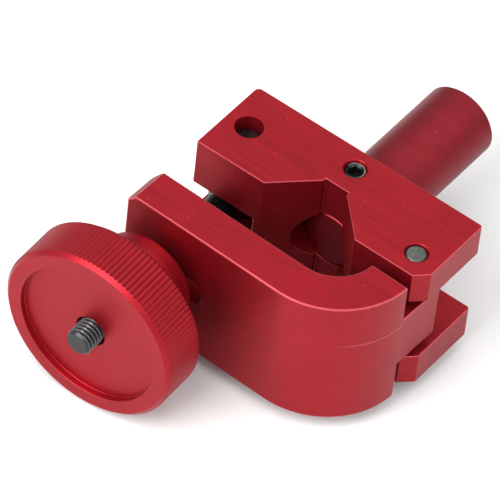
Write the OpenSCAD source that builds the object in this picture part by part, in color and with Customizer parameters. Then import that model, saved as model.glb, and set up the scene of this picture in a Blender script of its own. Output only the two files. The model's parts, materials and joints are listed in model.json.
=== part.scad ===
// Handlebar clamp with a V block body, a hooked arm and a swing bolt with a knurled knob.
// Origin: on the spigot's axis, in the plane of the body's back face.
// +Y along the spigot, outwards; +Z up; the clamped tube lies along Z.

/* [Body] */
// Length of the body along X
body_l = 76; // [72:1:84]
// Depth of the body, from the notched front face to the back face
body_d = 26.9; // [26:0.1:30]
// Height of the body and of the arm
body_h = 43.6; // [43.6:0.2:50]
// Half width of the V notch at its mouth
notch_half_w = 15.3; // [14:0.1:15.5]
// Half width of the relief slot at the bottom of the V notch
relief_half_w = 3.9; // [3:0.1:5]
// Depth of the relief slot's floor below the front face
relief_depth = 12.4; // [12.4:0.1:14]
// Cut across the front corner beside the arm
front_corner_cut = 3.6; // [3:0.1:4]
// Radius of the back vertical corner at the bolt's end
bolt_corner_r = 1.6; // [1:0.1:2]
// Radius of the back vertical corner at the arm's end
arm_corner_r = 0.9; // [0.6:0.1:2]
// Thickness of the two ears that hold the arm's pin
arm_ear_t = 10.6; // [9.6:0.1:11]
// Thickness of the two ears that hold the bolt's pin
bolt_ear_t = 16; // [15:0.1:16]

/* [Arm] */
// Thickness of the arm
arm_t = 12.2; // [11:0.1:12.6]
// Inner radius of the arm's bend
bend_r = 12.6; // [12:0.1:14]
// Height of the tongue that enters the body
tongue_h = 17.8; // [14:0.2:18]
// Bevel on the upper and lower edges of the arm's free end
arm_end_bevel = 2.5; // [1:0.1:3]
// Height of the fork slot that the bolt drops into
fork_h = 8.6; // [8.6:0.1:9.6]
// Angle of the arm as drawn, negative is towards the body
arm_rest_angle = -1.5; // [-2:0.1:0]

/* [Pins and screw] */
// Diameter of the arm's pivot pin hole
arm_pin_d = 6; // [5:0.5:6]
// Diameter of the bolt's pivot pin hole
bolt_pin_d = 8; // [7:0.5:8]
// Thread diameter of the set screw that holds the spigot
set_screw_d = 6; // [5:1:6]
// Depth of the bolt's pivot pin's ends below the body's faces
bolt_pin_recess = 4.6; // [2:0.2:6]

/* [Swing bolt and knob] */
// Thread diameter of the bolt
bolt_d = 8; // [7:0.5:8]
// Diameter of the bolt's eye
eye_d = 18; // [15:0.5:18]
// Distance from the pivot to the bolt's tip
bolt_reach = 75.8; // [75:0.2:80]
// Angle of the bolt as drawn, from -Y towards +X
bolt_rest_angle = 2.2; // [1.5:0.1:2.4]
// Outer diameter of the knob
knob_d = 54; // [48:0.5:56]
// Width of the knob's gripping rim
rim_w = 15.1; // [12:0.1:18]
// Diameter of the knob's hub
hub_d = 28; // [24:0.5:28]
// Distance from the bolt's pivot to the knob's front
knob_front = 71.7; // [71.7:0.1:73]
// Diameter of the recess in the knob's front
recess_d = 43.4; // [36:0.2:44]

/* [Spigot] */
// Diameter of the spigot behind the body
spigot_d = 22; // [20:0.5:26]
// Length of the spigot behind the body
spigot_l = 45.5; // [30:0.5:60]
// Diameter of the shank held in the body
shank_d = 18; // [15:0.5:18]

/* [Hidden] */
$fn = 64;

anodised_red = [0.70, 0.12, 0.18];
pin_steel = [0.42, 0.45, 0.42];
black_steel = [0.10, 0.10, 0.11];

// Fits and small edges
running_gap = 0.05;      // radial gap between a pin or shank and its hole
edge_break = 0.5;        // chamfer at hole mouths and pin ends
small_break = 0.1;       // chamfer at the mouths of the bolt pin's hole
beyond = 1;              // how far a cutter passes the face that it opens
half_l = body_l / 2;
half_h = body_h / 2;
arm_slot_h = body_h - 2 * arm_ear_t;
bolt_slot_h = body_h - 2 * bolt_ear_t;

// Places in the body's plan, where the notched front face is at y = -body_d
arm_pivot = [30.4, 7.3 - body_d];
bolt_pivot = [-30.7, -body_d / 2];
arm_slot_x = 20.5;       // closed end of the arm's slot
bolt_slot_x = -17.5;     // closed end of the bolt's slot
set_screw_y = 20.5 - body_d;

// Arm, in the plan before it is turned to its rest angle
bend_centre = [11.8, -4.1 - body_d];
arm_outer_r = bend_r + arm_t;
arm_left = -39.3;
arm_inner_bevel = 1.4;   // bevel on the free end's edge nearest the body
fork_end_x = -12;        // closed end of the fork slot
tongue_past_pin = 4.4;   // tongue's length beyond the pin's centre
spacer_d = 10;
spacer_t = (arm_slot_h - tongue_h) / 2 - 2 * running_gap;

// Bolt and knob, measured from the bolt's pivot along its own axis
eye_t = bolt_slot_h - 0.6;
rod_r = bolt_d / 2 - running_gap;
tip_bevel = 0.8;
washer_t = 0.8;
washer_d = 15;
washer_play = 0.25;      // radial gap between the washer and the bolt's thread
hub_back = 43.4;
rim_back = knob_front - rim_w;
rim_bevel = 1.2;
recess_depth = 1.9;
clearance_mouth_r = 4.6; // the bolt's clearance hole in the recess floor
clearance_depth = 3;

// Pins, screw and shank, and how far they stay below the faces round them
arm_pin_recess = 0.3;
screw_recess = 0.6;
shank_recess = 0.15;
screw_foot = shank_d / 2 + 0.1;  // the screw's lower end, just above the shank
hex_key = 3;

// A cylinder along Z from z0 to z1 with a chamfer at each end
module pin(r, z0, z1, bevel) {
    rotate_extrude()
        polygon([[0, z0], [r - bevel, z0], [r, z0 + bevel], [r, z1 - bevel], [r - bevel, z1], [0, z1]]);
}

// A cutter for a hole through the whole height, with chamfered mouths
module through_hole(r, mouth) {
    rotate_extrude()
        polygon([[0, -half_h - beyond], [r + mouth + beyond, -half_h - beyond],
                 [r, -half_h + mouth], [r, half_h - mouth],
                 [r + mouth + beyond, half_h + beyond], [0, half_h + beyond]]);
}

// The body's plan: a rectangle with two round corners, one cut corner and the V notch
module body_plan() {
    c = front_corner_cut;
    bolt_r = bolt_corner_r;
    arm_r = arm_corner_r;
    slope_depth = notch_half_w - relief_half_w;
    polygon([[-half_l, -body_d], [-notch_half_w, -body_d],
             [-relief_half_w, slope_depth - body_d], [-relief_half_w, relief_depth - body_d],
             [relief_half_w, relief_depth - body_d], [relief_half_w, slope_depth - body_d],
             [notch_half_w, -body_d], [half_l - c, -body_d], [half_l, c - body_d],
             [half_l, -arm_r], [half_l - arm_r, 0], [bolt_r - half_l, 0], [-half_l, -bolt_r]]);
    translate([bolt_r - half_l, -bolt_r]) circle(bolt_r);
    translate([half_l - arm_r, -arm_r]) circle(arm_r);
}

module v_block_body() {
    color(anodised_red) difference() {
        translate([0, 0, -half_h]) linear_extrude(body_h) body_plan();
        // slot for the arm's tongue
        translate([arm_slot_x, -body_d - beyond, -arm_slot_h / 2])
            cube([half_l - arm_slot_x + beyond, body_d + 2 * beyond, arm_slot_h]);
        // slot for the bolt's eye
        translate([-half_l - beyond, -body_d - beyond, -bolt_slot_h / 2])
            cube([half_l + bolt_slot_x + beyond, body_d + 2 * beyond, bolt_slot_h]);
        translate(arm_pivot) through_hole(arm_pin_d / 2, edge_break);
        translate(bolt_pivot) through_hole(bolt_pin_d / 2, small_break);
        // bore for the spigot's shank
        translate([0, beyond, 0]) rotate([90, 0, 0]) cylinder(h = body_d + 2 * beyond, d = shank_d);
        // hole for the set screw
        translate([0, set_screw_y, 0]) rotate_extrude()
            polygon([[0, 0], [set_screw_d / 2, 0], [set_screw_d / 2, half_h - edge_break],
                     [set_screw_d / 2 + edge_break + beyond, half_h + beyond], [0, half_h + beyond]]);
    }
}

module spigot() {
    shank_r = shank_d / 2 - running_gap;
    spigot_r = spigot_d / 2;
    shank_end = relief_depth - body_d + shank_recess;
    end_bevel = 0.7;
    color(anodised_red) rotate([-90, 0, 0]) rotate_extrude()
        polygon([[0, shank_end], [shank_r - end_bevel, shank_end], [shank_r, shank_end + end_bevel],
                 [shank_r, 0], [spigot_r, 0], [spigot_r, spigot_l - end_bevel],
                 [spigot_r - end_bevel, spigot_l], [0, spigot_l]]);
}

module spigot_set_screw() {
    socket_depth = 3;
    socket_r = hex_key / sqrt(3);
    mouth_r = 2.3;
    mouth_depth = 1.4;
    screw_top = half_h - screw_recess;
    color(black_steel) translate([0, set_screw_y, 0]) difference() {
        pin(set_screw_d / 2 - running_gap, screw_foot, screw_top, edge_break);
        translate([0, 0, screw_top - socket_depth]) cylinder(h = socket_depth + beyond, r = socket_r, $fn = 6);
        translate([0, 0, screw_top]) rotate_extrude()
            polygon([[0, -mouth_depth], [mouth_r, 0], [mouth_r, beyond], [0, beyond]]);
    }
}

// The arm's plan: a straight leg and a quarter bend
module arm_plan() {
    leg_l = bend_centre[0] - arm_left;
    translate(bend_centre) {
        translate([-leg_l, -arm_outer_r]) square([leg_l, arm_t]);
        intersection() {
            difference() {
                circle(r = arm_outer_r, $fn = 128);
                circle(r = bend_r, $fn = 128);
            }
            translate([0, -arm_outer_r]) square(arm_outer_r);
        }
    }
}

// A triangular cutter along Z that bevels the vertical edge at the origin
module edge_cutter(size, length) {
    translate([0, 0, -length / 2]) linear_extrude(length)
        polygon([[-beyond, size + beyond], [-beyond, -beyond], [size + beyond, -beyond]]);
}

module clamp_arm() {
    leg_outer_y = bend_centre[1] - arm_outer_r;
    leg_inner_y = bend_centre[1] - bend_r;
    tongue_x = bend_centre[0] + bend_r;
    tongue_end_y = arm_pivot[1] + tongue_past_pin;
    cutter_l = body_h + 2 * beyond;
    color(anodised_red) translate(arm_pivot) rotate([0, 0, arm_rest_angle]) translate(-arm_pivot)
    difference() {
        union() {
            translate([0, 0, -half_h]) linear_extrude(body_h) arm_plan();
            translate([tongue_x, bend_centre[1], -tongue_h / 2])
                cube([arm_t, tongue_end_y - bend_centre[1], tongue_h]);
        }
        translate([arm_pivot[0], arm_pivot[1], -half_h]) cylinder(h = body_h, d = arm_pin_d);
        // fork slot, open at the free end
        translate([arm_left - beyond, leg_outer_y - beyond, -fork_h / 2])
            cube([fork_end_x - fork_h / 2 - arm_left + beyond, arm_t + 2 * beyond, fork_h]);
        translate([fork_end_x - fork_h / 2, leg_inner_y + beyond, 0]) rotate([90, 0, 0])
            cylinder(h = arm_t + 2 * beyond, d = fork_h);
        // bevels on the free end's inner, upper and lower edges
        translate([arm_left, leg_inner_y, 0]) mirror([0, 1, 0]) edge_cutter(arm_inner_bevel, cutter_l);
        for (side = [0, 1]) mirror([0, 0, side])
            translate([arm_left, leg_outer_y + arm_t / 2, -half_h]) rotate([-90, 0, 0])
                mirror([0, 1, 0]) edge_cutter(arm_end_bevel, arm_t + 2 * beyond);
    }
}

module arm_pivot_pin() {
    pin_bevel = 0.4;
    color(pin_steel) translate(arm_pivot)
        pin(arm_pin_d / 2 - running_gap, arm_pin_recess - half_h, half_h - arm_pin_recess, pin_bevel);
}

// A flat ring on the arm's pin, between the tongue and an ear
module arm_spacer(side) {
    gap_middle = (tongue_h + arm_slot_h) / 4;
    color(pin_steel) translate([arm_pivot[0], arm_pivot[1], side * gap_middle - spacer_t / 2])
        difference() {
            cylinder(h = spacer_t, d = spacer_d);
            translate([0, 0, -beyond]) cylinder(h = spacer_t + 2 * beyond, d = arm_pin_d);
        }
}

module arm_spacer_upper() {
    arm_spacer(1);
}

module arm_spacer_lower() {
    arm_spacer(-1);
}

module bolt_pivot_pin() {
    color(black_steel) translate(bolt_pivot)
        pin(bolt_pin_d / 2 - running_gap, bolt_pin_recess - half_h, half_h - bolt_pin_recess, edge_break);
}

// Places its children on the bolt's axis: their +Z points outwards from the pivot
module on_bolt_axis() {
    translate(bolt_pivot) rotate([0, 0, bolt_rest_angle]) rotate([90, 0, 0]) children();
}

module swing_bolt() {
    tip_r = rod_r - tip_bevel;
    color(black_steel) on_bolt_axis() difference() {
        union() {
            rotate([90, 0, 0]) pin(eye_d / 2, -eye_t / 2, eye_t / 2, edge_break);
            rotate_extrude()
                polygon([[0, 0], [rod_r, 0], [rod_r, bolt_reach - tip_bevel],
                         [tip_r, bolt_reach], [0, bolt_reach]]);
        }
        rotate([90, 0, 0]) translate([0, 0, -eye_t]) cylinder(h = 2 * eye_t, d = bolt_pin_d);
    }
}

module thrust_washer() {
    bore_r = bolt_d / 2 + washer_play;
    color(pin_steel) on_bolt_axis() translate([0, 0, hub_back - washer_t - running_gap])
        difference() {
            cylinder(h = washer_t, d = washer_d);
            translate([0, 0, -beyond]) cylinder(h = washer_t + 2 * beyond, r = bore_r);
        }
}

module knob() {
    rim_r = knob_d / 2;
    hub_r = hub_d / 2;
    recess_r = recess_d / 2;
    floor_at = knob_front - recess_depth;
    thread_r = bolt_d / 2;
    color(anodised_red) on_bolt_axis() rotate_extrude($fn = 128)
        polygon([[thread_r + edge_break, hub_back], [hub_r - edge_break, hub_back],
                 [hub_r, hub_back + edge_break], [hub_r, rim_back],
                 [rim_r - rim_bevel, rim_back], [rim_r, rim_back + rim_bevel],
                 [rim_r, knob_front - rim_bevel], [rim_r - rim_bevel, knob_front],
                 [recess_r, knob_front], [recess_r, floor_at],
                 [clearance_mouth_r, floor_at], [clearance_mouth_r, floor_at - clearance_depth],
                 [thread_r, floor_at - clearance_depth], [thread_r, hub_back + edge_break]]);
}

v_block_body();
spigot();
spigot_set_screw();
clamp_arm();
arm_pivot_pin();
arm_spacer_upper();
arm_spacer_lower();
swing_bolt();
bolt_pivot_pin();
thrust_washer();
knob();
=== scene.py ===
import json
import math

import bmesh
import bpy
from mathutils import Matrix, Vector


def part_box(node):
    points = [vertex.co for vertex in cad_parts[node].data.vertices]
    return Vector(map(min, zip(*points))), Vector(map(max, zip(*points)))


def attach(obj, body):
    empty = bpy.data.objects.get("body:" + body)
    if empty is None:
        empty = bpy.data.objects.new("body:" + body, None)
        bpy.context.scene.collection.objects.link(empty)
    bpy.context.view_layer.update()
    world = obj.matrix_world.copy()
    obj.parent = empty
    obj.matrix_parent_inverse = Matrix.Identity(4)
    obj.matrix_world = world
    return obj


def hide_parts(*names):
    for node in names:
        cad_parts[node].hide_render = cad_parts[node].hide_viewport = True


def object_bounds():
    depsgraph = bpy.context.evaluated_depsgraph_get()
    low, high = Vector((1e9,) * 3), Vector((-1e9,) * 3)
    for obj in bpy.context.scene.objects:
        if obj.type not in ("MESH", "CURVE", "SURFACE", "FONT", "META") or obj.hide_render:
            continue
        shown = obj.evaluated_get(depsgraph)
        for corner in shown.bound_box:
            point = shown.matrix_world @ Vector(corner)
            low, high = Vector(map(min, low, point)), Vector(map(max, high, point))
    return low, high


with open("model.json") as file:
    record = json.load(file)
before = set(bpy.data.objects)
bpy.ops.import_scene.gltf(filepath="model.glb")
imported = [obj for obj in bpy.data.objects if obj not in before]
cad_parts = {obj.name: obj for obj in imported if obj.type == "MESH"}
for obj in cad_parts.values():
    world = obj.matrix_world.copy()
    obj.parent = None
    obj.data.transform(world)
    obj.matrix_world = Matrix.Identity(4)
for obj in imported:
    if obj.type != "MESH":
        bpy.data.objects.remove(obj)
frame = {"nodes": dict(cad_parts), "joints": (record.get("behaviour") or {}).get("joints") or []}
cad_low, cad_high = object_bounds()

MM = 0.001
SCENE = bpy.context.scene
UP = Vector((0, 0, 1))

# The bolt's axis runs from its pivot pin through the knob
knob_turn = next(joint for joint in frame["joints"] if joint["name"] == "knob_turn")
BOLT_PIVOT = Vector(knob_turn["pos_m"])
BOLT_AXIS = Vector(knob_turn["axis"]).normalized()

# The camera: where it looks, how far off it stands, and its small roll
LOOK_AT = Vector((-13.1, -33.2, 1.7)) * MM
CAMERA_AZIMUTH = math.radians(32.59)
CAMERA_ELEVATION = math.radians(47.95)
CAMERA_ROLL = math.radians(6.88)
CAMERA_DISTANCE = 1.683
LENS_MM = 450.6
SENSOR_MM = 36
CAMERA_NEAR = 0.05
CAMERA_FAR = 20

# The stage
FLOOR_HALF_WIDTH = 6.0
FLOOR_GAP = 0.02 * MM
FLOOR_IN_FRONT = Vector((-20, -100, -27)) * MM

# The knob, along the bolt's axis
KNURL_TEETH = 116
KNURL_DEPTH = 0.27 * MM
KNURL_CREST_SHARE = 0.60
COLUMNS_PER_TOOTH = 8
RIM_WIDTH = 15.1 * MM
RIM_BEVEL = 1.2 * MM
RIM_BEVEL_ROWS = 12
HUB_RADIUS = 14 * MM
HUB_TO_BACK_RING = 4 * MM
HUB_FILLET = 0.8 * MM
HUB_FILLET_ROWS = 4
RECESS_RADIUS = 21.7 * MM
RECESS_DEPTH = 1.9 * MM
RECESS_EDGE = 0.15 * MM
CLEARANCE_RADIUS = 4.6 * MM
CLEARANCE_DEPTH = 3 * MM
BORE_RADIUS = 4 * MM
SMALL_BEVEL = 0.5 * MM
STRAIGHT_ROWS = 3
SAME_POINT = 0.001 * MM
KNOB_SMOOTH_ANGLE = 24

# Threads. The shares are of the pitch
THREAD_DEPTH_SHARE = 0.61
THREAD_CREST_SHARE = 0.14
THREAD_ROOT_SHARE = 0.20
RUN_OUT_TURNS = 1.5
ROWS_PER_TURN = 10
ROD_COLUMNS = 48

# The swing bolt
BOLT_PITCH = 1.25 * MM
ROD_START = 5 * MM
THREAD_START = 25 * MM
SHANK_RADIUS = 3.75 * MM
ROD_RADIUS = 3.95 * MM
ROD_TIP_BEVEL = 0.8 * MM
EYE_RADIUS = 9 * MM
EYE_HOLE_RADIUS = 4 * MM
EYE_COLUMNS = 96
BOLT_SMOOTH_ANGLE = 40

# The set screw
SCREW_PITCH = 1.0 * MM
SCREW_FOOT = 0.2 * MM
SCREW_THREAD_DEPTH = 0.6 * MM
SCREW_TOP_BEVEL = 0.2 * MM
SOCKET_ACROSS_FLATS = 3.7 * MM
SOCKET_DEPTH = 3 * MM
SOCKET_MOUTH_RADIUS = 2.5 * MM
CUTTER_PROUD = 0.5 * MM
TOP_TOLERANCE = 0.1 * MM
SCREW_SMOOTH_ANGLE = 35

# How far up a face looks, as the Z of its normal
NEARLY_LEVEL = 0.9
LEVEL = 0.99

# The modifiers on the CAD nodes
WELD_DISTANCE = 0.02 * MM
FLAT_ANGLE = math.radians(0.4)
SHARP_EDGE_ANGLE = math.radians(50)
EDGE_SEGMENTS = 2

# Colours. Each pair is a surface's darkest and lightest tone
RED = ((0.215, 0.003, 0.008), (0.335, 0.006, 0.014))
SPIGOT_RED = ((0.165, 0.004, 0.010), (0.225, 0.008, 0.016))
# The lighter red on the rounded edges is a painted highlight: it brightens the edges beyond the light their
# bevels catch
PAINTED_HIGHLIGHT_RED = ((0.40, 0.040, 0.055), (0.52, 0.080, 0.095))
PALE_RED = (0.55, 0.20, 0.22)
GREY_STEEL = ((0.055, 0.060, 0.053), (0.16, 0.172, 0.155))
BLACK_STEEL = ((0.010, 0.011, 0.011), (0.034, 0.036, 0.036))
THREAD_FILM = (0.045, 0.046, 0.048)
RUBBED_CREST = (0.17, 0.17, 0.175)
RUBBED_STEEL = ((0.16, 0.16, 0.165), (0.38, 0.38, 0.39))
FLOOR_WHITE = ((0.66, 0.66, 0.66), (0.69, 0.69, 0.69))

# The roughness of each surface, least and most
RED_ROUGHNESS = (0.40, 0.52)
EDGE_ROUGHNESS = (0.26, 0.36)
GREY_STEEL_ROUGHNESS = (0.38, 0.60)
BLACK_STEEL_ROUGHNESS = (0.32, 0.50)
RUBBED_STEEL_ROUGHNESS = (0.28, 0.45)

# The part of a noise's range that is spread over a surface's tones or roughness
RED_TONE_RANGE = (0.36, 0.64)
STEEL_TONE_RANGE = (0.35, 0.65)
MARKS_RANGE = (0.25, 0.75)
GRAIN_RANGE = (0.3, 0.7)

# The scales of the marks left by tools, per metre along X, Y and Z, lowest along the marks. The knob's
# have one scale, for the distance from its axis and for the distance along it
MILLED_FINE = (60, 3600, 3600)
MILLED_BROAD = (25, 700, 700)
BEND_FINE = (700, 700, 4200)
BEND_BROAD = (300, 300, 1200)
SPIGOT_FINE = (150, 4200, 150)
SPIGOT_BROAD = (110, 260, 110)
KNOB_FINE = 4200
KNOB_BROAD = 700

# Pale specks on the red surfaces. A share of the pattern's cells hold one, and its radius is in cells
SPECK_CELLS_PER_METRE = 500
SPECK_SHARE = 0.22
SPECK_CELL_RADIUS = 0.055

# The thin line on the arm's outer face, where the bend meets the tongue
ARM_LINE_HEIGHT = 7.3 * MM
ARM_LINE_WANDER = 0.7 * MM
ARM_LINE_CORE = 0.05 * MM
ARM_LINE_REACH = 0.18 * MM
ARM_LINE_STRENGTH = 0.6
ARM_LINE_FADE_FROM_X = 26 * MM
ARM_LINE_FULL_FROM_X = 33 * MM
ARM_LINE_BEFORE_Y = -31.5 * MM

# Where the knob has rubbed the bolt's thread
WORN_BEYOND = 45 * MM
WORN_FADE = 2 * MM
WORN_CREST_DEPTH = 0.28 * MM
WORN_CREST_SHARE = 0.8


# ---------------------------------------------------------------- node helpers

def new_material(name):
    """A material with an empty node tree, and that tree."""
    material = bpy.data.materials.new(name)
    material.use_nodes = True
    tree = material.node_tree
    tree.nodes.clear()
    return material, tree


def add(tree, kind, inputs=None, **settings):
    """Adds a shader node. Each input is a value, or the output socket of another node."""
    node = tree.nodes.new("ShaderNode" + kind)
    for name, value in settings.items():
        setattr(node, name, value)
    for key, value in (inputs or {}).items():
        feed(tree, node.inputs[key], value)
    return node


def feed(tree, socket, value):
    """Links an output socket to this input socket, or gives it a plain value."""
    if isinstance(value, bpy.types.NodeSocket):
        tree.links.new(value, socket)
    else:
        socket.default_value = value


def maths(tree, operation, a, b=0.0):
    return add(tree, "Math", {0: a, 1: b}, operation=operation).outputs[0]


def weighted(tree, first, second, first_share):
    """The mean of first and second, where first has first_share of the weight."""
    first_part = maths(tree, "MULTIPLY", first, first_share)
    second_part = maths(tree, "MULTIPLY", second, 1 - first_share)
    return maths(tree, "ADD", first_part, second_part)


def remap(tree, value, low, high, to_low=0.0, to_high=1.0):
    """value from low..high to to_low..to_high, held at the ends."""
    inputs = {"Value": value, "From Min": low, "From Max": high, "To Min": to_low, "To Max": to_high}
    return add(tree, "MapRange", inputs).outputs["Result"]


def blend_colors(tree, share, first, second):
    """first where share is 0 and second where it is 1. Each is an (r, g, b) or a colour socket."""
    mix = add(tree, "Mix", {0: share}, data_type="RGBA")
    colour_inputs = [socket for socket in mix.inputs if socket.type == "RGBA"]
    for socket, colour in zip(colour_inputs, (first, second)):
        feed(tree, socket, colour if isinstance(colour, bpy.types.NodeSocket) else (*colour, 1))
    return next(socket for socket in mix.outputs if socket.type == "RGBA")


def noise(tree, vector, scale=1.0, detail=3.0, roughness=0.55):
    inputs = {"Vector": vector, "Scale": scale, "Detail": detail, "Roughness": roughness}
    return add(tree, "TexNoise", inputs).outputs["Fac"]


def object_point(tree):
    return add(tree, "TexCoord").outputs["Object"]


def stretched(tree, scale):
    """The object's own coordinates, scaled by a different factor along each axis."""
    return add(tree, "Mapping", {"Vector": object_point(tree), "Scale": scale}).outputs["Vector"]


def parts_of(tree, vector):
    """The outputs X, Y and Z of a vector."""
    return add(tree, "SeparateXYZ", {"Vector": vector}).outputs


def place_on_bolt(tree):
    """(distance from the bolt's axis, distance along it from the pivot)."""
    offset = add(tree, "VectorMath", {0: object_point(tree), 1: BOLT_PIVOT}, operation="SUBTRACT").outputs[0]
    across = add(tree, "VectorMath", {0: offset, 1: BOLT_AXIS}, operation="CROSS_PRODUCT").outputs[0]
    radius = add(tree, "VectorMath", {0: across}, operation="LENGTH").outputs["Value"]
    along = add(tree, "VectorMath", {0: offset, 1: BOLT_AXIS}, operation="DOT_PRODUCT").outputs["Value"]
    return radius, along


def bump(tree, height, depth, strength):
    inputs = {"Height": height, "Distance": depth, "Strength": strength}
    return add(tree, "Bump", inputs).outputs["Normal"]


def finish_material(material, tree, shader_inputs):
    """Joins a shader with these inputs to the material's output."""
    shader = add(tree, "BsdfPrincipled", shader_inputs)
    add(tree, "OutputMaterial", {"Surface": shader.outputs["BSDF"]})
    return material


# ---------------------------------------------------------------- marks left by tools

def milled_along_x(tree):
    """Fine lines along X, as on the body's faces."""
    fine = noise(tree, stretched(tree, MILLED_FINE), detail=4.0, roughness=0.65)
    broad = noise(tree, stretched(tree, MILLED_BROAD), detail=2.0)
    return weighted(tree, fine, broad, first_share=0.6)


def milled_round_bend(tree):
    """The arm's marks: lines at a constant height round its sides, lines along X on its flat faces."""
    fine = noise(tree, stretched(tree, BEND_FINE), detail=4.0, roughness=0.65)
    broad = noise(tree, stretched(tree, BEND_BROAD), detail=2.0)
    sides = weighted(tree, fine, broad, first_share=0.75)
    facing = parts_of(tree, add(tree, "NewGeometry").outputs["Normal"])["Z"]
    flat = maths(tree, "GREATER_THAN", maths(tree, "ABSOLUTE", facing), NEARLY_LEVEL)
    on_sides = maths(tree, "MULTIPLY", sides, maths(tree, "SUBTRACT", 1.0, flat))
    return maths(tree, "ADD", on_sides, maths(tree, "MULTIPLY", milled_along_x(tree), flat))


def turned_about_y(tree):
    """Feed lines and uneven dye on the spigot, which is turned about Y."""
    fine = noise(tree, stretched(tree, SPIGOT_FINE), roughness=0.65)
    broad = noise(tree, stretched(tree, SPIGOT_BROAD), detail=2.0)
    return weighted(tree, fine, broad, first_share=0.6)


def turned_about_bolt(tree):
    """Rings on the knob's flat faces and feed lines on its round ones."""
    radius, along = place_on_bolt(tree)
    point = add(tree, "CombineXYZ", {"X": radius, "Y": along}).outputs["Vector"]
    fine = noise(tree, point, scale=KNOB_FINE, roughness=0.7)
    broad = noise(tree, point, scale=KNOB_BROAD, detail=2.0)
    return weighted(tree, fine, broad, first_share=0.55)


def specks(tree):
    """A mask of small sparse spots, such as dust and nicks: 1 on a spot, 0 elsewhere."""
    cells = add(tree, "TexVoronoi", {"Vector": object_point(tree), "Scale": SPECK_CELLS_PER_METRE})
    close = maths(tree, "LESS_THAN", cells.outputs["Distance"], SPECK_CELL_RADIUS)
    chosen = maths(tree, "GREATER_THAN", cells.outputs["Color"], 1 - SPECK_SHARE)
    return maths(tree, "MULTIPLY", close, chosen)


def line_beside_tongue(tree):
    """The mask of a thin line at one height at the end of the bend, where two cuts met."""
    wander = maths(tree, "MULTIPLY", noise(tree, object_point(tree), scale=160), ARM_LINE_WANDER)
    place = parts_of(tree, object_point(tree))
    height = maths(tree, "ADD", place["Z"], wander)
    off = maths(tree, "ABSOLUTE", maths(tree, "SUBTRACT", height, ARM_LINE_HEIGHT))
    line = remap(tree, off, ARM_LINE_CORE, ARM_LINE_REACH, ARM_LINE_STRENGTH, 0.0)
    fade_in = remap(tree, place["X"], ARM_LINE_FADE_FROM_X, ARM_LINE_FULL_FROM_X)
    before_tongue = maths(tree, "LESS_THAN", place["Y"], ARM_LINE_BEFORE_Y)
    return maths(tree, "MULTIPLY", line, maths(tree, "MULTIPLY", fade_in, before_tongue))


# ---------------------------------------------------------------- materials

def anodised(name, tool_marks, tones=RED, roughness=RED_ROUGHNESS, pale_line=None):
    """Satin red anodised aluminium.

    tool_marks builds the pattern that the machining left, from 0 to 1. pale_line, where given,
    builds the mask of one line that shows paler.
    """
    material, tree = new_material(name)
    marks = tool_marks(tree)
    cloud = noise(tree, object_point(tree), scale=45)
    tone = remap(tree, weighted(tree, marks, cloud, first_share=0.7), *RED_TONE_RANGE)
    colour = blend_colors(tree, tone, *tones)
    colour = blend_colors(tree, specks(tree), colour, PALE_RED)
    if pale_line:
        colour = blend_colors(tree, pale_line(tree), colour, PALE_RED)
    return finish_material(material, tree, {
        "Base Color": colour,
        "Metallic": 0.82,
        "Roughness": remap(tree, marks, *MARKS_RANGE, *roughness),
        "Normal": bump(tree, marks, depth=0.03 * MM, strength=0.7),
        "Coat Weight": 0.08,
        "Coat Roughness": 0.25,
    })


def ground_steel():
    """Plain steel pin, washer and spacers: grey-green, mottled."""
    material, tree = new_material("ground_steel")
    mottle = noise(tree, object_point(tree), scale=900, detail=4.0, roughness=0.7)
    stain = noise(tree, object_point(tree), scale=260, detail=2.0)
    tone = remap(tree, weighted(tree, mottle, stain, first_share=0.6), *STEEL_TONE_RANGE)
    return finish_material(material, tree, {
        "Base Color": blend_colors(tree, tone, *GREY_STEEL),
        "Metallic": 1.0,
        "Roughness": remap(tree, mottle, *GRAIN_RANGE, *GREY_STEEL_ROUGHNESS),
        "Normal": bump(tree, mottle, depth=0.03 * MM, strength=0.6),
    })


def rubbed_thread(tree, colour):
    """Adds to colour the greyer film and the light crests of the thread where the knob runs."""
    radius, along = place_on_bolt(tree)
    on_thread = remap(tree, along, WORN_BEYOND, WORN_BEYOND + WORN_FADE)
    crest = remap(tree, radius, ROD_RADIUS - WORN_CREST_DEPTH, ROD_RADIUS, 0.0, WORN_CREST_SHARE)
    film = blend_colors(tree, on_thread, colour, THREAD_FILM)
    return blend_colors(tree, maths(tree, "MULTIPLY", on_thread, crest), film, RUBBED_CREST)


def black_oxide(name, wear=None):
    """Black oxide steel. wear, where given, changes its colour in some places."""
    material, tree = new_material(name)
    grain = noise(tree, object_point(tree), scale=1500, detail=3.0, roughness=0.6)
    stain = noise(tree, object_point(tree), scale=300, detail=2.0)
    tone = remap(tree, weighted(tree, grain, stain, first_share=0.5), *STEEL_TONE_RANGE)
    colour = blend_colors(tree, tone, *BLACK_STEEL)
    if wear:
        colour = wear(tree, colour)
    return finish_material(material, tree, {
        "Base Color": colour,
        "Metallic": 0.9,
        "Roughness": remap(tree, grain, *GRAIN_RANGE, *BLACK_STEEL_ROUGHNESS),
        "Normal": bump(tree, grain, depth=0.02 * MM, strength=0.5),
    })


def worn_steel():
    """The flat top of the set screw, rubbed through its black finish."""
    material, tree = new_material("worn_steel")
    rubs = noise(tree, object_point(tree), scale=1100, detail=3.0, roughness=0.6)
    tone = remap(tree, rubs, *STEEL_TONE_RANGE)
    return finish_material(material, tree, {
        "Base Color": blend_colors(tree, tone, *RUBBED_STEEL),
        "Metallic": 1.0,
        "Roughness": remap(tree, rubs, *GRAIN_RANGE, *RUBBED_STEEL_ROUGHNESS),
        "Normal": bump(tree, rubs, depth=0.02 * MM, strength=0.5),
    })


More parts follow.
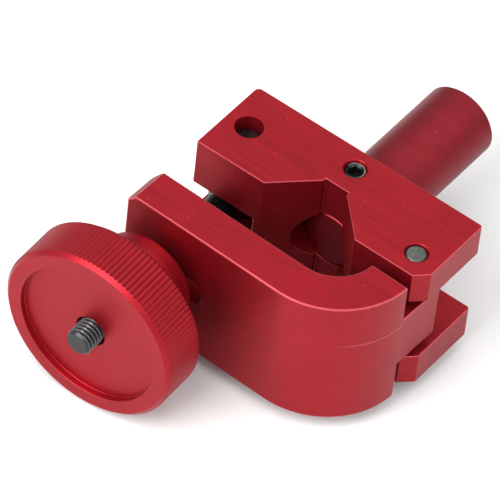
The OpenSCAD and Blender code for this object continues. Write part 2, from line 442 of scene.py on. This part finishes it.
def floor_material():
    """Matt near-white studio floor with a trace of mottling."""
    material, tree = new_material("studio_floor")
    mottle = noise(tree, object_point(tree), scale=12)
    return finish_material(material, tree, {
        "Base Color": blend_colors(tree, mottle, *FLOOR_WHITE),
        "Roughness": 0.9,
        "Specular IOR Level": 0.0,
    })


# ---------------------------------------------------------------- mesh helpers

def object_from(bm, name, material):
    """Turns a bmesh into an object with smooth faces and the given material."""
    bmesh.ops.recalc_face_normals(bm, faces=bm.faces)
    mesh = bpy.data.meshes.new(name)
    bm.to_mesh(mesh)
    bm.free()
    mesh.materials.append(material)
    mesh.polygons.foreach_set("use_smooth", [True] * len(mesh.polygons))
    piece = bpy.data.objects.new(name, mesh)
    SCENE.collection.objects.link(piece)
    return piece


def smooth_by_angle(piece, degrees):
    """Marks edges sharper than the angle, so that only rounded ones shade smoothly."""
    bm = bmesh.new()
    bm.from_mesh(piece.data)
    for edge in bm.edges:
        edge.smooth = edge.calc_face_angle(0) < math.radians(degrees)
    bm.to_mesh(piece.data)
    bm.free()


def combine(piece, other, operation):
    """Joins other to piece, or cuts it out of piece, and removes other."""
    modifier = piece.modifiers.new(operation.lower(), "BOOLEAN")
    modifier.operation = operation
    modifier.solver = "EXACT"
    modifier.object = other
    graph = bpy.context.evaluated_depsgraph_get()
    mesh = bpy.data.meshes.new_from_object(piece.evaluated_get(graph))
    piece.modifiers.clear()
    piece.data = mesh
    bpy.data.objects.remove(other)


def plain_radius(row, angle):
    """The radius_at of a plain turned shape: the row's own radius."""
    return row[1]


def surface_of_revolution(radius_at, rows, columns, closed_ring=False):
    """A mesh about +Z. rows are (height, base radius), and radius_at(row, angle) gives the radius.

    A row of radius 0 closes the end with a fan. With closed_ring the last row joins the first.
    """
    bm = bmesh.new()
    rings = []
    for row in rows:
        if row[1] == 0:
            rings.append([bm.verts.new((0, 0, row[0]))])
            continue
        ring = []
        for i in range(columns):
            angle = 2 * math.pi * i / columns
            radius = radius_at(row, angle)
            ring.append(bm.verts.new((radius * math.cos(angle), radius * math.sin(angle), row[0])))
        rings.append(ring)
    pairs = list(zip(rings, rings[1:]))
    if closed_ring:
        pairs.append((rings[-1], rings[0]))
    for low, high in pairs:
        for i in range(columns):
            following = i + 1
            corners = [low[i % len(low)], low[following % len(low)]]
            corners += [high[following % len(high)], high[i % len(high)]]
            corners = list(dict.fromkeys(corners))
            if len(corners) > 2:
                bm.faces.new(corners)
    return bm


def on_bolt_axis():
    """The matrix that puts +Z on the bolt's axis, pointing away from the pivot, and +Y up."""
    x_axis = UP.cross(BOLT_AXIS).normalized()
    rotation = Matrix((x_axis, UP, BOLT_AXIS)).transposed()
    return Matrix.Translation(BOLT_PIVOT) @ rotation.to_4x4()


def axial_span(node):
    """(nearest, furthest, widest) of a CAD node along and about the bolt's axis."""
    offsets = [v.co - BOLT_PIVOT for v in frame["nodes"][node].data.vertices]
    along = [offset.dot(BOLT_AXIS) for offset in offsets]
    widest = max(offset.cross(BOLT_AXIS).length for offset in offsets)
    return min(along), max(along), widest


def steps(start, end, count):
    """count + 1 evenly spaced values, both ends included."""
    return [start + (end - start) * i / count for i in range(count + 1)]


def wave(turns):
    """0 in the middle of each turn and 1 where it starts and ends."""
    return abs(turns % 1.0 - 0.5) * 2


# ---------------------------------------------------------------- the knob

def knurl_drop(angle):
    """How far the knurl lies below its crest at this angle: a V groove between flat crests."""
    groove_half = 1 - KNURL_CREST_SHARE
    return KNURL_DEPTH * max(0.0, 1 - wave(angle * KNURL_TEETH / (2 * math.pi)) / groove_half)


def knob_rows(back, front, rim_radius):
    """The knob's section as (distance along the axis, radius), once round from the bore's back end."""
    rim_back = front - RIM_WIDTH
    floor = front - RECESS_DEPTH
    fillet_start = rim_back - HUB_FILLET
    bevel_steps = steps(0, RIM_BEVEL, RIM_BEVEL_ROWS)[1:]
    hub = [(back, BORE_RADIUS + SMALL_BEVEL), (back, HUB_RADIUS - SMALL_BEVEL)]
    hub += [(back + SMALL_BEVEL, HUB_RADIUS)]
    hub += [(s, HUB_RADIUS) for s in steps(back + 2 * SMALL_BEVEL, fillet_start, STRAIGHT_ROWS)]
    for turn in steps(0, math.pi / 2, HUB_FILLET_ROWS)[1:]:
        along = rim_back - HUB_FILLET * (1 - math.sin(turn))
        hub.append((along, HUB_RADIUS + HUB_FILLET * (1 - math.cos(turn))))
    rim = [(rim_back, HUB_RADIUS + HUB_TO_BACK_RING), (rim_back, rim_radius - RIM_BEVEL)]
    rim += [(rim_back + s, rim_radius) for s in bevel_steps]
    rim += [(s, rim_radius) for s in steps(rim_back + RIM_BEVEL, front - RIM_BEVEL, STRAIGHT_ROWS)[1:]]
    rim += [(front - RIM_BEVEL + s, rim_radius) for s in bevel_steps]
    recess = [(front, rim_radius - RIM_BEVEL - RECESS_EDGE), (front, RECESS_RADIUS + RECESS_EDGE)]
    recess += [(front - RECESS_EDGE, RECESS_RADIUS), (floor + RECESS_EDGE, RECESS_RADIUS)]
    recess += [(floor, RECESS_RADIUS - RECESS_EDGE)]
    floor_radii = steps(RECESS_RADIUS - RECESS_EDGE, CLEARANCE_RADIUS + RECESS_EDGE, STRAIGHT_ROWS)
    recess += [(floor, radius) for radius in floor_radii[1:]]
    bore = [(floor - RECESS_EDGE, CLEARANCE_RADIUS), (floor - CLEARANCE_DEPTH, CLEARANCE_RADIUS)]
    bore += [(floor - CLEARANCE_DEPTH, BORE_RADIUS), (back + SMALL_BEVEL, BORE_RADIUS)]
    return hub + rim + recess + bore


def make_knob(material):
    """The knurled knob: hub, rim with a straight knurl, bevels that cut the knurl, recess and bore."""
    back, front, rim_radius = axial_span("knob")
    rim_back = front - RIM_WIDTH

    def radius_at(row, angle):
        along, radius = row
        if radius < rim_radius:
            return radius
        bevelled = rim_radius - RIM_BEVEL + min(along - rim_back, front - along)
        return min(rim_radius - knurl_drop(angle), bevelled)

    rows = knob_rows(back, front, rim_radius)
    bm = surface_of_revolution(radius_at, rows, KNURL_TEETH * COLUMNS_PER_TOOTH, closed_ring=True)
    bmesh.ops.remove_doubles(bm, verts=bm.verts, dist=SAME_POINT)
    bm.transform(on_bolt_axis())
    knob = object_from(bm, "knurled_knob", material)
    smooth_by_angle(knob, KNOB_SMOOTH_ANGLE)
    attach(knob, "knob")
    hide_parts("knob")


# ---------------------------------------------------------------- threads

def thread_drop(along, angle, pitch):
    """How far the thread lies below its crest. Its flanks stand at about 60 degrees to each other."""
    past_crest = 1 - THREAD_CREST_SHARE - wave(along / pitch - angle / (2 * math.pi))
    flank = 1 - THREAD_CREST_SHARE - THREAD_ROOT_SHARE
    return THREAD_DEPTH_SHARE * pitch * min(1.0, max(0.0, past_crest / flank))


def threaded_rod(start, thread_start, end, radius, shank_radius, pitch, tip_bevel):
    """A closed rod along +Z with a thread from thread_start to end, and a bevelled tip."""

    def radius_at(row, angle):
        along = row[0]
        if along < thread_start:
            return shank_radius
        bevelled = radius - tip_bevel + (end - along)
        fade = min(1.0, (along - thread_start) / (RUN_OUT_TURNS * pitch))
        threaded = radius - thread_drop(along, angle, pitch)
        return min(shank_radius + (threaded - shank_radius) * fade, bevelled)

    count = round((end - thread_start) / pitch * ROWS_PER_TURN)
    rows = [(start, 0), (start, shank_radius)]
    rows += [(s, radius) for s in steps(thread_start, end, count)]
    rows += [(end, 0)]
    return surface_of_revolution(radius_at, rows, ROD_COLUMNS)


# ---------------------------------------------------------------- the swing bolt

def eye_ring(half_height):
    """The bolt's eye: a closed ring about +Z with a bevel on each outer rim."""
    rows = [(-half_height, EYE_HOLE_RADIUS), (-half_height, EYE_RADIUS - SMALL_BEVEL)]
    rows += [(SMALL_BEVEL - half_height, EYE_RADIUS), (half_height - SMALL_BEVEL, EYE_RADIUS)]
    rows += [(half_height, EYE_RADIUS - SMALL_BEVEL), (half_height, EYE_HOLE_RADIUS)]
    return surface_of_revolution(plain_radius, rows, EYE_COLUMNS, closed_ring=True)


def make_swing_bolt(material):
    """The eye bolt: a ring round the pivot pin and a rod with an M8 thread."""
    low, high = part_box("swing_bolt")
    tip = axial_span("swing_bolt")[1]
    rod = threaded_rod(ROD_START, THREAD_START, tip, ROD_RADIUS, SHANK_RADIUS, BOLT_PITCH, ROD_TIP_BEVEL)
    rod.transform(on_bolt_axis())
    rod = object_from(rod, "rod", material)
    ring = eye_ring((high.z - low.z) / 2)
    ring.transform(Matrix.Translation(BOLT_PIVOT))
    bolt = object_from(ring, "threaded_swing_bolt", material)
    combine(bolt, rod, "UNION")
    smooth_by_angle(bolt, BOLT_SMOOTH_ANGLE)
    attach(bolt, "bolt")
    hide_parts("swing_bolt")


# ---------------------------------------------------------------- the set screw

def cut_turned_hole(piece, rows, columns, place, material):
    """Cuts the shape with these rows about +Z, moved by place, out of piece."""
    shape = surface_of_revolution(plain_radius, rows, columns)
    shape.transform(place)
    combine(piece, object_from(shape, "cutter", material), "DIFFERENCE")


def make_set_screw(material, worn):
    """The socket set screw: an M6 thread with a countersunk hexagon socket in its top."""
    low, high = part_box("spigot_set_screw")
    centre = (low + high) / 2
    radius = (high.x - low.x) / 2
    core_radius = radius - SCREW_THREAD_DEPTH
    thread_start = low.z + SCREW_FOOT
    rod = threaded_rod(low.z, thread_start, high.z, radius, core_radius, SCREW_PITCH, SCREW_TOP_BEVEL)
    place = Matrix.Translation((centre.x, centre.y, 0))
    rod.transform(place)
    screw = object_from(rod, "hex_socket_set_screw", material)
    corner = SOCKET_ACROSS_FLATS / math.sqrt(3)
    floor = high.z - SOCKET_DEPTH
    above = high.z + CUTTER_PROUD
    hexagon = [(floor, 0), (floor, corner), (high.z, corner), (above, corner), (above, 0)]
    cut_turned_hole(screw, hexagon, 6, place, material)
    mouth = [(high.z - SOCKET_MOUTH_RADIUS, 0), (high.z, SOCKET_MOUTH_RADIUS)]
    mouth += [(above, SOCKET_MOUTH_RADIUS + CUTTER_PROUD), (above, 0)]
    cut_turned_hole(screw, mouth, ROD_COLUMNS, place, material)
    screw.data.materials.append(worn)
    for face in screw.data.polygons:
        flat_top = face.normal.z > LEVEL and face.center.z > high.z - TOP_TOLERANCE
        face.material_index = 1 if flat_top else 0
    smooth_by_angle(screw, SCREW_SMOOTH_ANGLE)
    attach(screw, "body")
    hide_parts("spigot_set_screw")


# ---------------------------------------------------------------- CAD nodes

def finish_cad_node(node, materials, edge_width):
    """Gives a CAD node its materials, and rounds its edges with modifiers.

    The rounded edges get the last of the materials, which on the anodised parts is a lighter red painted on
    as a highlight.
    """
    piece = frame["nodes"][node]
    piece.data.materials.clear()
    for material in materials:
        piece.data.materials.append(material)
    weld = piece.modifiers.new("weld", "WELD")
    weld.merge_threshold = WELD_DISTANCE
    planar = piece.modifiers.new("merge_flat_faces", "DECIMATE")
    planar.decimate_type = "DISSOLVE"
    planar.angle_limit = FLAT_ANGLE
    bevel = piece.modifiers.new("edge_round", "BEVEL")
    bevel.width = edge_width
    bevel.segments = EDGE_SEGMENTS
    bevel.limit_method = "ANGLE"
    bevel.angle_limit = SHARP_EDGE_ANGLE
    bevel.use_clamp_overlap = False
    bevel.material = len(materials) - 1
    normals = piece.modifiers.new("flat_face_normals", "WEIGHTED_NORMAL")
    normals.keep_sharp = True


# ---------------------------------------------------------------- stage

def make_camera():
    data = bpy.data.cameras.new("camera")
    data.lens = LENS_MM
    data.sensor_width = SENSOR_MM
    data.clip_start = CAMERA_NEAR
    data.clip_end = CAMERA_FAR
    camera = bpy.data.objects.new("camera", data)
    SCENE.collection.objects.link(camera)
    flat = math.cos(CAMERA_ELEVATION)
    away_x = math.sin(CAMERA_AZIMUTH) * flat
    away_y = -math.cos(CAMERA_AZIMUTH) * flat
    away = Vector((away_x, away_y, math.sin(CAMERA_ELEVATION)))
    camera.location = LOOK_AT + away * CAMERA_DISTANCE
    camera.rotation_mode = "QUATERNION"
    level = (-away).to_track_quat("-Z", "Y")
    camera.rotation_quaternion = level @ Matrix.Rotation(CAMERA_ROLL, 3, "Z").to_quaternion()
    SCENE.camera = camera


def make_floor():
    """A large level square just under the object."""
    mesh = bpy.data.meshes.new("floor")
    half = FLOOR_HALF_WIDTH
    height = cad_low.z - FLOOR_GAP
    corners = [(-half, -half, height), (half, -half, height), (half, half, height), (-half, half, height)]
    mesh.from_pydata(corners, [], [(0, 1, 2, 3)])
    mesh.materials.append(floor_material())
    floor = bpy.data.objects.new("floor", mesh)
    SCENE.collection.objects.link(floor)


def make_softbox(name, direction, distance, size, power, target=None):
    """A square area light that faces a point, the middle of the object unless target is given.

    It stands at the given distance from that point, in the given direction. Power is in watts.
    """
    data = bpy.data.lights.new(name, "AREA")
    data.shape = "SQUARE"
    data.size = size
    data.energy = power
    light = bpy.data.objects.new(name, data)
    SCENE.collection.objects.link(light)
    direction = Vector(direction).normalized()
    target = target or (cad_low + cad_high) / 2
    light.location = target + direction * distance
    light.rotation_mode = "QUATERNION"
    light.rotation_quaternion = (-direction).to_track_quat("-Z", "Y")


def make_world(horizon, zenith, left_share):
    """A white sky that brightens from the horizon to the zenith, and is dimmed towards -X."""
    world = bpy.data.worlds.new("studio")
    world.use_nodes = True
    tree = world.node_tree
    tree.nodes.clear()
    direction = parts_of(tree, add(tree, "TexCoord").outputs["Generated"])
    upward = remap(tree, direction["Z"], 0.0, 1.0, horizon, zenith)
    sideways = remap(tree, direction["X"], -1.0, 0.2, left_share, 1.0)
    strength = maths(tree, "MULTIPLY", upward, sideways)
    background = add(tree, "Background", {"Color": (1, 1, 1, 1), "Strength": strength})
    add(tree, "OutputWorld", {"Surface": background.outputs[0]})
    SCENE.world = world


# ---------------------------------------------------------------- the scene

make_camera()
SCENE.view_settings.view_transform = "Standard"
make_world(horizon=0.55, zenith=1.95, left_share=0.5)
make_softbox("front_softbox", direction=(-0.25, -0.80, 0.52), distance=1.1, size=0.8, power=9)
make_softbox("right_softbox", direction=(0.90, -0.20, 0.55), distance=1.2, size=0.6, power=3)
make_softbox("floor_light", direction=(-0.10, -0.45, 0.88), distance=0.32, size=0.25, power=0.9,
             target=FLOOR_IN_FRONT)
make_floor()

# The edge material is a painted highlight: a lighter, glossier red put on the anodised parts' rounded edges
edge = anodised("anodised_edge_painted_highlight", milled_along_x, PAINTED_HIGHLIGHT_RED, EDGE_ROUGHNESS)
milled = anodised("anodised_milled", milled_along_x)
bent = anodised("anodised_bend", milled_round_bend, pale_line=line_beside_tongue)
spigot = anodised("anodised_spigot", turned_about_y, SPIGOT_RED)
turned = anodised("anodised_knob", turned_about_bolt)
steel = ground_steel()
black = black_oxide("black_oxide")
black_thread = black_oxide("black_oxide_thread", wear=rubbed_thread)

finish_cad_node("v_block_body", [milled, edge], edge_width=0.22 * MM)
finish_cad_node("clamp_arm", [bent, edge], edge_width=0.42 * MM)
finish_cad_node("spigot", [spigot, edge], edge_width=0.12 * MM)
finish_cad_node("arm_pivot_pin", [steel], edge_width=0.08 * MM)
finish_cad_node("arm_spacer_upper", [steel], edge_width=0.12 * MM)
finish_cad_node("arm_spacer_lower", [steel], edge_width=0.12 * MM)
finish_cad_node("bolt_pivot_pin", [black], edge_width=0.08 * MM)
finish_cad_node("thrust_washer", [steel], edge_width=0.12 * MM)

make_knob(turned)
make_swing_bolt(black_thread)
make_set_screw(black, worn_steel())
